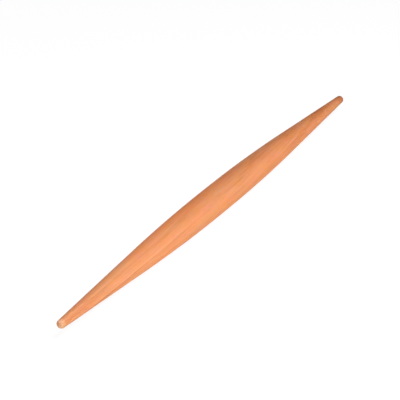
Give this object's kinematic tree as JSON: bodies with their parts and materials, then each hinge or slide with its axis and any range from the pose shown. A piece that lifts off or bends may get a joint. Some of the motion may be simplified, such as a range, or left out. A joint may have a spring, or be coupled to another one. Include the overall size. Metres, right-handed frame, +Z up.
{
  "type": "rolling pin",
  "caption": "Slender wooden rolling pin turned from one piece, thickest at the middle and tapering to small rounded tips.",
  "frame": {"origin": "under the middle of the belly, on the surface that the pin lies on", "axes": "+X along the pin's turning axis, +Z up, +Y across the pin"},
  "size_m": [0.58, 0.028, 0.028],
  "materials": {
    "hardwood": "sanded and lightly oiled, satin"
  },
  "bodies": {
    "root": {"turned_pin": "hardwood"}
  },
  "joints": []
}
